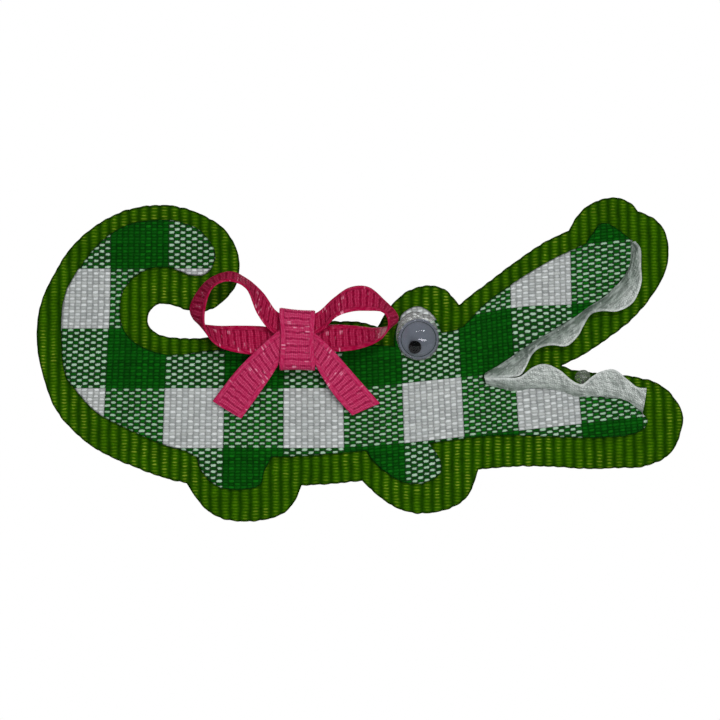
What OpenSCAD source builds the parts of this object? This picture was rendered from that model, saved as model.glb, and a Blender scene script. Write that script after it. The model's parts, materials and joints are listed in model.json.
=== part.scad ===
// Alligator hair clip: a cut-ribbon alligator glued on a sprung metal single-prong clip.
// +X runs to the snout, +Z up from the feet, and the face looks towards -Y.
// The origin is the middle of the clip's jaws, on the plane where they grip.

/* [Ribbon figure] */
// Thickness of the olive grosgrain backing
backing_t = 0.6; // [0.4:0.1:0.8]
// Thickness of the gingham ribbon figure
gingham_t = 0.4; // [0.3:0.1:0.6]
// Thickness of the glue film and of the tooth ribbons between the two
film_t = 0.25; // [0.2:0.05:0.4]
// How far the glue film stays inside the gingham's edge
film_inset = 1.5; // [1:0.25:2]

/* [Eye] */
// Diameter of the wiggle eye
eye_d = 5; // [4.4:0.2:5.2]
// Height of the clear dome over the cup
dome_h = 1.8; // [1.7:0.1:2]
// Diameter of the loose pupil
pupil_d = 1.6; // [1.2:0.2:1.8]
// Thickness of the loose pupil
pupil_t = 0.35; // [0.25:0.05:0.45]

/* [Bow] */
// Thickness of the pink grosgrain
bow_t = 0.35; // [0.25:0.05:0.4]
// Width of the band round the middle
knot_w = 4.6; // [4:0.2:5]

/* [Clip] */
// Length of the flat arm
arm_l = 45; // [43:1:47]
// Width of the flat arm
arm_w = 8; // [7.8:0.1:8.4]
// Thickness of the flat arm's steel
arm_t = 0.6; // [0.5:0.1:0.7]
// Thickness of the toothed prong's steel
prong_t = 0.5; // [0.4:0.1:0.6]
// Width of the prong over its teeth
prong_w = 5; // [4.6:0.2:5.4]
// Diameter of the hinge pin
pin_d = 1.2; // [1:0.1:1.3]
// Gap round the pin in the prong's ears
pin_gap = 0.05; // [0.02:0.01:0.1]
// Diameter of the spring wire
wire_d = 0.5; // [0.4:0.05:0.5]
// Thickness of the ribbon lining
lining_t = 0.5; // [0.3:0.1:0.5]

/* [Hidden] */
$fn = 48;

// Depths of the layers, counted along Y from the grip plane out to the face
arm_y = -lining_t;
wrap_y = arm_y - arm_t;
pad_t = 0.3;
pad_y = wrap_y - lining_t;
backing_y = pad_y - pad_t;
film_y = backing_y - backing_t;
gingham_y = film_y - film_t;
face_y = gingham_y - gingham_t;
bond_t = 0.3;

// Clip: jaws from the pin to +14, thumb end at the tail side
tip_x = 14;
pin_x = -17;
pin_y = 1.6;
thumb_x = tip_x - arm_l;
ear_t = 0.5;
ear_gap = 0.3;
base_ear_r = 1.9;
prong_ear_r = 1.7;
prong_ear_z = arm_w / 2 - ear_t - ear_gap;
prong_flat_y = 1.75;
tooth_n = 6;
tooth_pitch = 1.9;
tooth_x = 2;
jaw_gap = 0.12;
lining_x = -12;

// Eye
eye_x = 4.3;
eye_z = 10.1;
cup_t = 0.4;
dome_wall_h = 0.35;
cup_y = face_y - 0.2;
dome_y = cup_y - cup_t;
chamber_r = eye_d / 2 - 0.53;
chamber_h = 0.7;
pupil_offset = [-0.45, -1.0];

// Bow
knot_x = -10.8;
knot_z0 = 6.2;
knot_z1 = 13.9;
knot_y = face_y - bond_t;
knot_depth = 2.75;

// Rounded outlines are drawn as smooth curves through their points.
// A point given twice is a sharp corner.
backing_points = [
    [-27.8, 26.9], [-31.4, 26.5], [-35, 25], [-38.8, 22], [-41.4, 18], [-43.1, 14], [-43.4, 9.5],
    [-42.5, 5], [-41, 1.2], [-38.2, -2], [-35.2, -4.1], [-31, -6], [-27, -7.4],
    [-24.7, -7.9], [-24.7, -7.9], [-22.5, -11], [-20, -12.4], [-17, -12.7], [-13.7, -12.2],
    [-11.5, -10.7], [-10.3, -8.2], [-10.3, -8.2], [-6.5, -8], [-2.7, -7.6], [-2.7, -7.6],
    [-0.6, -9.6], [2, -11.2], [5, -11.7], [8.2, -11.1], [10.6, -9.4], [11.8, -6.2], [11.8, -6.2],
    [15, -5.9], [20, -5.8], [25.2, -6.1], [30, -6], [33, -5.7], [36, -4], [37.4, -0.4],
    [36.8, 2], [35, 4.1], [32, 5.3], [27, 5.8], [24, 6.2], [22.2, 6.8], [22.2, 6.8], [25, 8.2],
    [28, 10.2], [31, 12.6], [33.5, 15.5], [35.3, 18.8], [35.5, 22.4], [34.2, 24.9],
    [31.8, 26.1], [31.8, 26.1], [30.6, 27.3], [28, 27.8], [25, 26.4], [23.1, 23.7], [23.1, 23.7],
    [19.2, 21.7], [15, 18.7], [11.8, 16.3], [9.4, 14.4], [9.4, 14.4], [7.6, 16.3], [5.2, 16.8],
    [2.6, 15.9], [0.6, 13.9], [-0.8, 11.6], [-0.8, 11.6], [-3, 12.2], [-8, 12.3], [-15, 11.2],
    [-21, 10.4], [-25.5, 10.2], [-28.4, 10.8], [-29.6, 12.3], [-28.9, 14.2], [-27, 14.5],
    [-24.4, 13.7], [-22, 13.7], [-20, 15], [-18.4, 17.1], [-18.2, 20.6], [-20, 23.9],
    [-23, 25.8], [-25.5, 26.6]
];
gingham_points = [
    [-28, 25], [-32, 24.4], [-35.2, 22.4], [-37.6, 19.6], [-39.6, 16.3], [-40.3, 12.6],
    [-40, 6.4], [-38.6, 3.9], [-35.8, 0.9], [-32, -1.1], [-28, -2.9], [-25, -3.8],
    [-23.4, -4.6], [-23.4, -4.6], [-22.6, -6.6], [-20.9, -8.2], [-18.5, -8.7], [-15.6, -8.2],
    [-15, -6.4], [-14, -4.6], [-14, -4.6], [-9, -4.4], [-2.2, -3.8], [-2.2, -3.8], [-0.9, -5.6],
    [2, -7.6], [4.6, -7.9], [6.9, -6.8], [7, -5], [5.6, -2.9], [5.6, -2.9], [9, -2.4],
    [14, -1.9], [20, -2], [26, -2.2], [31, -1.8], [32.9, -0.4], [32, 1.1], [30, 2.5], [26, 3],
    [22, 3.7], [17, 4.1], [14, 4.5], [12.2, 5.3], [12.2, 5.3], [16, 8], [21, 11.15],
    [26, 14.25], [29, 16.8], [30.8, 19.4], [31, 22.4], [31, 22.4], [28.8, 24.1], [27.2, 24.6],
    [26, 23.2], [25.2, 22], [25.2, 22], [21, 20], [16.5, 17.3], [12.5, 14.4], [9.8, 11.6],
    [7.2, 10.8], [7.2, 10.8], [6.2, 13], [4.2, 14.2], [2.2, 13.1], [1.3, 10.6], [1.3, 9.2],
    [1.3, 9.2], [-4, 9.4], [-12, 9.1], [-21, 8.7], [-26, 8.1], [-29, 8.6], [-31.8, 10.2],
    [-33, 12.8], [-32.6, 16.2], [-30.2, 18.6], [-27, 19.1], [-24, 18.1], [-22, 18.5],
    [-21.1, 20.8], [-22.8, 23.5], [-25.4, 24.7]
];
upper_teeth_points = [
    [12.8, 5.7], [12.8, 5.7], [15, 5.4], [17.1, 5.8], [18.4, 8.1], [20, 9.3], [22.8, 9.3],
    [24.2, 10.5], [25.6, 13], [27.2, 13.6], [30, 13.9], [31.8, 16], [32.1, 18.5], [32, 21.3],
    [31, 22.5], [31, 22.5], [29, 21], [27.5, 17.5], [24, 14.8], [18, 11]
];
lower_teeth_points = [
    [14.5, 4.2], [14.5, 4.2], [17.2, 4.9], [20.2, 7], [22, 6.2], [24.6, 4.5], [26.4, 5.8], [28.8, 6.3],
    [31.1, 4.4], [32.7, 4], [33.1, 1.2], [33, 0.2], [33, 0.2], [29, 1.2], [24, 2.2], [18, 2.8]
];

// Bow ribbon: each row is a point on its rear edge and the matching point on its front edge
left_loop_edges = [
    [[-11.6, -4.6, 12.6], [-11.6, -4.9, 10.4]],
    [[-13.5, -4.4, 13.7], [-13.8, -5.0, 10.8]],
    [[-15.1, -4.1, 15.9], [-15.7, -6.6, 13.2]],
    [[-17.1, -3.9, 17.6], [-17.0, -7.3, 16.3]],
    [[-19.4, -3.7, 18.5], [-19.3, -7.4, 17.3]],
    [[-22.3, -3.7, 17.2], [-21.3, -7.3, 16.4]],
    [[-24.2, -3.7, 14.2], [-22.2, -7.0, 13.8]],
    [[-23.4, -3.7, 12.3], [-22.1, -6.9, 11.2]],
    [[-21.2, -3.8, 11.8], [-20.6, -6.4, 9.2]],
    [[-18.0, -3.8, 11.8], [-17.6, -5.3, 8.3]],
    [[-15.0, -3.9, 11.7], [-14.6, -4.7, 8.2]],
    [[-12.2, -3.9, 11.2], [-12.2, -4.1, 8.4]]
];
right_loop_edges = [
    [[-10.2, -4.6, 12.6], [-10.2, -4.9, 10.4]],
    [[-8.1, -4.4, 13.6], [-7.9, -5.0, 11.0]],
    [[-6.2, -4.2, 15.3], [-6.0, -6.2, 12.8]],
    [[-4.2, -3.9, 16.6], [-4.0, -6.2, 13.5]],
    [[-1.9, -3.8, 16.6], [-2.0, -6.2, 13.6]],
    [[0.2, -3.7, 14.8], [-0.3, -6.8, 13.5]],
    [[1.7, -3.7, 13.1], [0.4, -7.2, 12.7]],
    [[1.3, -3.7, 12.0], [0.4, -7.0, 11.3]],
    [[-0.9, -3.8, 11.5], [-0.8, -6.6, 9.8]],
    [[-3.6, -3.8, 11.8], [-3.4, -5.7, 8.8]],
    [[-6.6, -3.9, 11.9], [-6.4, -4.9, 8.5]],
    [[-9.4, -3.9, 11.4], [-9.4, -4.1, 8.4]]
];
left_tail_edges = [
    [[-12.6, -5.5, 11.6], [-11.9, -5.5, 9.4]],
    [[-15.2, -5.6, 9.4], [-13.4, -5.4, 6.5]],
    [[-18.4, -4.7, 6.2], [-15.6, -4.6, 3.2]],
    [[-21.4, -3.5, 2.4], [-17.8, -3.5, 0.2]]
];
right_tail_edges = [
    [[-9.0, -5.5, 11.2], [-9.8, -5.5, 9.4]],
    [[-6.6, -5.5, 9.0], [-8.3, -5.4, 6.4]],
    [[-3.6, -4.7, 5.6], [-6.3, -4.6, 3.2]],
    [[-0.5, -3.5, 2.1], [-4.0, -3.5, 0.6]]
];

// Prong's side view: its thumb tab, the bend over the pin, and the flat that carries the teeth
prong_bend = [
    [-31.5, 8.1], [-26, 5.9], [-20.5, 3.9], [-17, 3.5], [-12, 3.2], [-4, 2.3],
    [tooth_x, prong_flat_y], [tooth_x, prong_flat_y], [tip_x - 0.5, prong_flat_y]
];

function unit(v) = v / norm(v);
function bend(a, b, c, d, t) =
    0.5 * (2 * b + (c - a) * t + (2 * a - 5 * b + 4 * c - d) * t * t
    + (3 * b - a - 3 * c + d) * t * t * t);
function closed_curve(p, steps = 4) =
    let (n = len(p))
    [for (i = [0 : n - 1]) if (p[i] != p[(i + 1) % n])
        for (k = [0 : steps - 1])
            bend(p[(i + n - 1) % n], p[i], p[(i + 1) % n], p[(i + 2) % n], k / steps)];
function open_curve(p, steps = 4) =
    let (n = len(p))
    concat([for (i = [0 : n - 2]) if (p[i] != p[i + 1])
        for (k = [0 : steps - 1])
            bend(p[max(i - 1, 0)], p[i], p[i + 1], p[min(i + 2, n - 1)], k / steps)],
        [p[n - 1]]);
function along(p, i) = unit(p[min(i + 1, len(p) - 1)] - p[max(i - 1, 0)]);

// Lifts a flat XZ drawing into a layer whose rear face is at y and that comes forward by t
module layer(y, t) {
    translate([0, y, 0]) rotate([90, 0, 0]) linear_extrude(t) children();
}

// Cuts a side view drawn in XY, w wide and centred on z = 0
module side_view(w) {
    translate([0, 0, -w / 2]) linear_extrude(w) children();
}

// Joins rings of corners into one closed skin with flat ends
module skin(rings) {
    n = len(rings[0]);
    last = len(rings) - 1;
    sides = [for (i = [0 : last - 1]) for (k = [0 : n - 1])
        let (a = i * n + k, b = i * n + (k + 1) % n)
        each [[a, b, a + n], [b, b + n, a + n]]];
    caps = [[for (k = [n - 1 : -1 : 0]) k], [for (k = [0 : n - 1]) last * n + k]];
    polyhedron([for (r = rings) each r], concat(sides, caps));
}

// A ribbon between two edges, bow_t thick
module ribbon(edges) {
    rear = open_curve([for (e = edges) e[0]]);
    front = open_curve([for (e = edges) e[1]]);
    skin([for (i = [0 : len(rear) - 1])
        let (half = bow_t / 2 * unit(cross(along((rear + front) / 2, i), front[i] - rear[i])))
        [rear[i] - half, front[i] - half, front[i] + half, rear[i] + half]]);
}

// A round wire along a path
module wire(path, d, sides = 8) {
    skin([for (i = [0 : len(path) - 1])
        let (t = along(path, i), u = unit(cross(t, [0.1, 0.2, 1])), v = cross(t, u))
        [for (k = [0 : sides - 1])
            path[i] + d / 2 * (cos(360 * k / sides) * u + sin(360 * k / sides) * v)]]);
}

// A pair of ears, each a round plate on the pin's line with a foot that runs to y
module ears(z, r, y, bore_r) {
    for (side = [-1, 1])
        translate([0, 0, side * (z - ear_t / 2)])
            side_view(ear_t) difference() {
                union() {
                    translate([pin_x, pin_y]) circle(r);
                    translate([pin_x - r, min(y, pin_y)]) square([2 * r, abs(y - pin_y)]);
                }
                translate([pin_x, pin_y]) circle(bore_r);
            }
}

// The flat arm of the clip with its outer ears
module clip_base() {
    color("silver") {
        layer(arm_y, arm_t) union() {
            translate([thumb_x + arm_w / 2, -arm_w / 2]) square([arm_l - arm_w, arm_w]);
            translate([thumb_x + arm_w / 2, 0]) circle(arm_w / 2);
            translate([tip_x - arm_w / 2, 0]) circle(arm_w / 2);
        }
        ears(arm_w / 2, base_ear_r, arm_y - arm_t / 2, pin_d / 2);
    }
}

// The toothed side wall of the prong
module tooth_row() {
    side_view(ear_t) polygon(concat(
        [[tooth_x + tooth_n * tooth_pitch, prong_flat_y], [tooth_x, prong_flat_y]],
        [for (i = [0 : tooth_n - 1]) each [
            [tooth_x + i * tooth_pitch, prong_flat_y - 0.8],
            [tooth_x + (i + 0.5) * tooth_pitch, jaw_gap]]],
        [[tooth_x + tooth_n * tooth_pitch, prong_flat_y - 0.8]]));
}

// The prong seen from above: wide thumb tab, waist at the ears, narrow toothed jaw
module prong_plan() {
    translate([thumb_x + 3, 0]) circle(3.6);
    translate([thumb_x + 3, -3.6]) square([6, 7.2]);
    translate([thumb_x + 3, -prong_ear_z]) square([pin_x + 3 - thumb_x, 2 * prong_ear_z]);
    translate([pin_x, -prong_w / 2]) square([tip_x - 1 - pin_x, prong_w]);
    translate([tip_x - 1.5, -prong_w / 2 + 1]) square([1, prong_w - 2]);
}

// The toothed prong with its thumb tab and inner ears
module clip_prong() {
    mid = open_curve(prong_bend, 3);
    top = [for (i = [0 : len(mid) - 1]) let (t = along(mid, i)) mid[i] + prong_t / 2 * [-t.y, t.x]];
    low = [for (i = [len(mid) - 1 : -1 : 0]) let (t = along(mid, i))
        mid[i] - prong_t / 2 * [-t.y, t.x]];
    color("silver") {
        intersection() {
            side_view(arm_w) polygon(concat(top, low));
            layer(12, 12) prong_plan();
        }
        for (side = [-1, 1]) translate([0, 0, side * (prong_w - ear_t) / 2]) tooth_row();
        ears(prong_ear_z, prong_ear_r, 3.5, pin_d / 2 + pin_gap);
    }
}

// The hinge pin with its two peened heads
module hinge_pin() {
    head_t = 0.25;
    color("gainsboro") translate([pin_x, pin_y, 0]) {
        cylinder(d = pin_d, h = arm_w + 2 * head_t, center = true);
        for (side = [-1, 1])
            translate([0, 0, side * (arm_w + head_t) / 2])
                cylinder(d = pin_d + 0.8, h = head_t, center = true);
    }
}

// The torsion spring: its coil runs round the pin and a leg presses on each thumb tab
module torsion_spring() {
    coil_r = 1.2;
    coil_w = 3.8;
    turns = 4.5;
    rings = 72;
    coil = [for (i = [0 : rings]) let (a = -90 + 360 * turns * i / rings)
        [pin_x + coil_r * cos(a), pin_y + coil_r * sin(a), coil_w * (i / rings - 0.5)]];
    foot = [[-26.5, arm_y + wire_d / 2 + 0.05, -coil_w / 2], [-19, 0.3, -coil_w / 2]];
    hand = [[-19, 2.9, coil_w / 2], [-25.5, 4.95, coil_w / 2]];
    color("slategray") wire(concat(foot, coil, hand), wire_d);
}

// The ribbon lining: in along the grip face, round the arm's tip and back along its outside
module clip_lining() {
    plan_w = arm_w - 0.4;
    color("darkseagreen") difference() {
        union() {
            layer(0, lining_t) lining_plan(lining_x, plan_w);
            layer(wrap_y, lining_t) lining_plan(thumb_x + 3, plan_w);
            layer(0, 2 * lining_t + arm_t) intersection() {
                lining_plan(lining_x, plan_w);
                translate([tip_x - 3, -plan_w / 2]) square([4, plan_w]);
            }
        }
        layer(arm_y, arm_t) union() {
            translate([thumb_x, -arm_w / 2]) square([arm_l - arm_w / 2, arm_w]);
            translate([tip_x - arm_w / 2, 0]) circle(arm_w / 2);
        }
    }
}

// The lining's outline from x to its round end past the arm's tip
module lining_plan(x, w) {
    end_r = arm_w / 2 + lining_t;
    intersection() {
        translate([x, -w / 2]) square([tip_x + lining_t - x, w]);
        union() {
            translate([x, -w / 2]) square([tip_x - arm_w / 2 - x, w]);
            translate([tip_x - arm_w / 2, 0]) circle(end_r);
        }
    }
}

// The hot-melt pad that holds the figure to the clip
module glue_clip_pad() {
    color("linen") layer(pad_y, pad_t) polygon(closed_curve([
        [-25, 2.6], [-16, 3.1], [-6, 2.8], [3, 3.2], [11, 2.4], [12, -0.5], [10.5, -2.8],
        [1, -3.2], [-8, -2.9], [-17, -3.2], [-25.5, -2.4], [-26.5, 0.3]]));
}

// The olive grosgrain, cut a little larger than the figure all round
module backing_ribbon() {
    color("olivedrab") layer(backing_y, backing_t) polygon(closed_curve(backing_points));
}

// The glue film under the gingham's body and tail
module glue_under_gingham() {
    color("whitesmoke") layer(film_y, film_t) intersection() {
        offset(delta = -film_inset) polygon(closed_curve(gingham_points));
        translate([-50, -20]) square([62, 60]);
    }
}

// The green and white gingham figure
module gingham_ribbon() {
    color("green") layer(gingham_y, gingham_t) polygon(closed_curve(gingham_points));
}

// The white wavy ribbon along the upper jaw
module upper_teeth() {
    color("white") layer(film_y, film_t) polygon(closed_curve(upper_teeth_points));
}

// The white wavy ribbon along the lower jaw
module lower_teeth() {
    color("white") layer(film_y, film_t) polygon(closed_curve(lower_teeth_points));
}

// A bead of hot-melt squeezed out in the corner of the mouth, on the backing
module glue_mouth_bead() {
    color("whitesmoke") intersection() {
        translate([24.9, film_y + 0.4, 5.4]) sphere(0.8);
        layer(film_y, 1) translate([23, 4]) square([4, 3]);
    }
}

// The glue between the gingham and the eye
module glue_under_eye() {
    color("whitesmoke") layer(face_y, 0.2) translate([eye_x, eye_z]) circle(eye_d / 2 - 0.4);
}

// The eye's flat white cup
module eye_cup() {
    color("whitesmoke") layer(cup_y, cup_t) translate([eye_x, eye_z]) circle(eye_d / 2);
}

// The eye's clear dome with the round chamber that the pupil slides in
module eye_dome() {
    rim_r = eye_d / 2 - 0.1;
    cap_h = dome_h - dome_wall_h;
    cap_r = (rim_r * rim_r + cap_h * cap_h) / (2 * cap_h);
    color("lightcyan") translate([eye_x, dome_y, eye_z]) rotate([90, 0, 0]) difference() {
        intersection() {
            translate([0, 0, dome_h - cap_r]) sphere(cap_r);
            cylinder(r = rim_r, h = dome_h);
        }
        translate([0, 0, -1]) cylinder(r = chamber_r, h = chamber_h + 1);
    }
}

// The loose black pupil, resting on the chamber's wall
module eye_pupil() {
    color("black") layer(dome_y - 0.15, pupil_t)
        translate([eye_x + pupil_offset.x, eye_z + pupil_offset.y]) circle(pupil_d / 2);
}

// The dab of glue behind the bow's middle
module glue_under_bow() {
    color("whitesmoke") layer(face_y, bond_t) translate([knot_x, knot_z0 + 1.6]) circle(1.3);
}

// The bow's two loops
module bow_loops() {
    color("mediumvioletred") {
        ribbon(left_loop_edges);
        ribbon(right_loop_edges);
    }
}

// The bow's two tails
module bow_tails() {
    color("palevioletred") {
        ribbon(left_tail_edges);
        ribbon(right_tail_edges);
    }
}

// The band's side view: a rounded oblong r less than its outside
module knot_profile(inset) {
    r = 0.9 - inset;
    for (y = [r, knot_depth - 2 * inset - r], z = [r, knot_z1 - knot_z0 - 2 * inset - r])
        translate([inset + y, inset + z]) circle(r);
    translate([inset + r, inset])
        square([knot_depth - 2 * inset - 2 * r, knot_z1 - knot_z0 - 2 * inset]);
    translate([inset, inset + r])
        square([knot_depth - 2 * inset, knot_z1 - knot_z0 - 2 * inset - 2 * r]);
}

// The band wrapped round the bow's middle
module bow_knot() {
    color("hotpink") translate([knot_x - knot_w / 2, knot_y, knot_z0])
        rotate([90, 0, 90]) mirror([1, 0, 0]) linear_extrude(knot_w) difference() {
            knot_profile(0);
            knot_profile(bow_t);
        }
}

clip_base();
clip_prong();
hinge_pin();
torsion_spring();
clip_lining();
glue_clip_pad();
backing_ribbon();
glue_under_gingham();
lower_teeth();
upper_teeth();
gingham_ribbon();
glue_mouth_bead();
glue_under_eye();
eye_cup();
eye_pupil();
eye_dome();
glue_under_bow();
bow_loops();
bow_tails();
bow_knot();
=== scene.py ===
"""Looks for the alligator hair clip: its ribbons, bow, eye and clip, built round the frame."""
import json
import math

import bpy
import numpy as np
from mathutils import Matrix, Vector
from mathutils.geometry import delaunay_2d_cdt


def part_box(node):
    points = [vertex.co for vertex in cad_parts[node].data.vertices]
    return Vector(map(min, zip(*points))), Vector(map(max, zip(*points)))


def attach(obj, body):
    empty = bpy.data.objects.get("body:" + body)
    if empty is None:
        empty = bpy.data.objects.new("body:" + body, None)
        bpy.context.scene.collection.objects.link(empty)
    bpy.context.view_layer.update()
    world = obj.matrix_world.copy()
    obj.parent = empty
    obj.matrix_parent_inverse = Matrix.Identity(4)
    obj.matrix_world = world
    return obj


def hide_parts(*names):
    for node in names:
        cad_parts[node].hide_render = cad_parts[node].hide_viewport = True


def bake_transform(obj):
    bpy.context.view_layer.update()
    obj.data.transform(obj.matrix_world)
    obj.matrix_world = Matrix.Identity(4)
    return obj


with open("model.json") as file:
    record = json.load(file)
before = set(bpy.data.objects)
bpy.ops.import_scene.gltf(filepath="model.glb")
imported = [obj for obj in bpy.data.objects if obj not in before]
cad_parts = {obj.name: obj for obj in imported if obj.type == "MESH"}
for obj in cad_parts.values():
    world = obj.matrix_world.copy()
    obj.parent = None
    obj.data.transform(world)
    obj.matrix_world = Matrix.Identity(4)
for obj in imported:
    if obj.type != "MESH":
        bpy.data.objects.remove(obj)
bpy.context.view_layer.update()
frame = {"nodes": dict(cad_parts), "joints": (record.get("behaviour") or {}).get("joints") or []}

MM = 0.001


# -------- shader building

class Shader:
    """One material's node tree. Each method adds a node and returns its output socket."""

    def __init__(self, name):
        self.material = bpy.data.materials.new(name)
        self.material.use_nodes = True
        self.tree = self.material.node_tree
        self.tree.nodes.clear()
        self.bsdf = self.tree.nodes.new("ShaderNodeBsdfPrincipled")
        output = self.tree.nodes.new("ShaderNodeOutputMaterial")
        self.tree.links.new(self.bsdf.outputs[0], output.inputs["Surface"])

    def put(self, socket, value):
        if isinstance(value, bpy.types.NodeSocket):
            self.tree.links.new(value, socket)
        else:
            socket.default_value = value

    def math(self, operation, a, b=0.0, c=0.0):
        node = self.tree.nodes.new("ShaderNodeMath")
        node.operation = operation
        for socket, value in zip(node.inputs, (a, b, c)):
            self.put(socket, value)
        return node.outputs[0]

    def times(self, a, b):
        return self.math("MULTIPLY", a, b)

    def over(self, a, b):
        return self.math("DIVIDE", a, b)

    def plus(self, a, b):
        return self.math("ADD", a, b)

    def minus(self, a, b):
        return self.math("SUBTRACT", a, b)

    def floor(self, value):
        return self.math("FLOOR", value)

    def off_middle(self, value):
        """How far the value is from the middle of its whole step: 0 there, 1 at either end."""
        part = self.math("FRACT", value)
        return self.math("ABSOLUTE", self.math("MULTIPLY_ADD", part, 2.0, -1.0))

    def ramp(self, value, low, high, start=0.0, end=1.0):
        """Runs smoothly from start to end as the value goes from low to high."""
        node = self.tree.nodes.new("ShaderNodeMapRange")
        node.interpolation_type = "SMOOTHSTEP"
        for socket, given in zip(node.inputs, (value, low, high, start, end)):
            self.put(socket, given)
        return node.outputs[0]

    def mix(self, factor, a, b):
        node = self.tree.nodes.new("ShaderNodeMix")
        node.data_type = "RGBA"
        self.put(node.inputs[0], factor)
        self.put(node.inputs[6], a)
        self.put(node.inputs[7], b)
        return node.outputs[2]

    def dim(self, colour, factor):
        """The colour times a plain number, so a dark colour keeps its hue."""
        node = self.tree.nodes.new("ShaderNodeVectorMath")
        node.operation = "SCALE"
        self.put(node.inputs[0], colour)
        self.put(node.inputs["Scale"], factor)
        return node.outputs[0]

    def attribute(self, name):
        node = self.tree.nodes.new("ShaderNodeAttribute")
        node.attribute_name = name
        split = self.tree.nodes.new("ShaderNodeSeparateXYZ")
        self.tree.links.new(node.outputs["Vector"], split.inputs[0])
        return node.outputs["Vector"], *split.outputs

    def place(self):
        node = self.tree.nodes.new("ShaderNodeTexCoord")
        return node.outputs["Object"]

    def noise(self, vector, scale, detail=2.0):
        node = self.tree.nodes.new("ShaderNodeTexNoise")
        self.put(node.inputs["Vector"], vector)
        node.inputs["Scale"].default_value = scale
        node.inputs["Detail"].default_value = detail
        return node.outputs["Fac"]

    def join(self, x, y):
        node = self.tree.nodes.new("ShaderNodeCombineXYZ")
        self.put(node.inputs[0], x)
        self.put(node.inputs[1], y)
        return node.outputs[0]

    def random(self, x, y):
        """A number from 0 to 1, always the same for the same x and y."""
        node = self.tree.nodes.new("ShaderNodeTexWhiteNoise")
        node.noise_dimensions = "2D"
        self.put(node.inputs["Vector"], self.join(x, y))
        return node.outputs["Value"]

    def bump(self, height, distance, strength, normal=None):
        node = self.tree.nodes.new("ShaderNodeBump")
        node.inputs["Strength"].default_value = strength
        node.inputs["Distance"].default_value = distance
        self.put(node.inputs["Height"], height)
        if normal is not None:
            self.put(node.inputs["Normal"], normal)
        return node.outputs[0]

    def edge_normal(self, radius):
        node = self.tree.nodes.new("ShaderNodeBevel")
        node.samples = 4
        node.inputs["Radius"].default_value = radius
        return node.outputs[0]

    def finish(self, **values):
        """Sets the principled shader's sockets by name, with _ for a space."""
        for key, value in values.items():
            self.put(self.bsdf.inputs[key.replace("_", " ")], value)
        return self.material


def srgb(red, green, blue):
    """A colour given as the 0 to 255 values seen on screen."""
    def linear(c):
        c = c / 255
        return c / 12.92 if c <= 0.04045 else ((c + 0.055) / 1.055) ** 2.4
    return (linear(red), linear(green), linear(blue), 1.0)


# -------- materials

CHECK_MM = 7.42
PICK_MM = 7.47
WEAVE_START = (-34.8, -3.5)
WARPS = 10
PICKS = 19
OLIVE_RIB = 1.26
OLIVE_THREAD = 0.39
OLIVE_START = -0.35
PINK_RIB = 0.84

# How much of its crossing a raised yarn covers: along the weft, then along the warp
WARP_FLOAT = (0.88, 0.84)
WEFT_FLOAT = (0.97, 0.74)
FLOAT_POWER = 3.1


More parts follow.
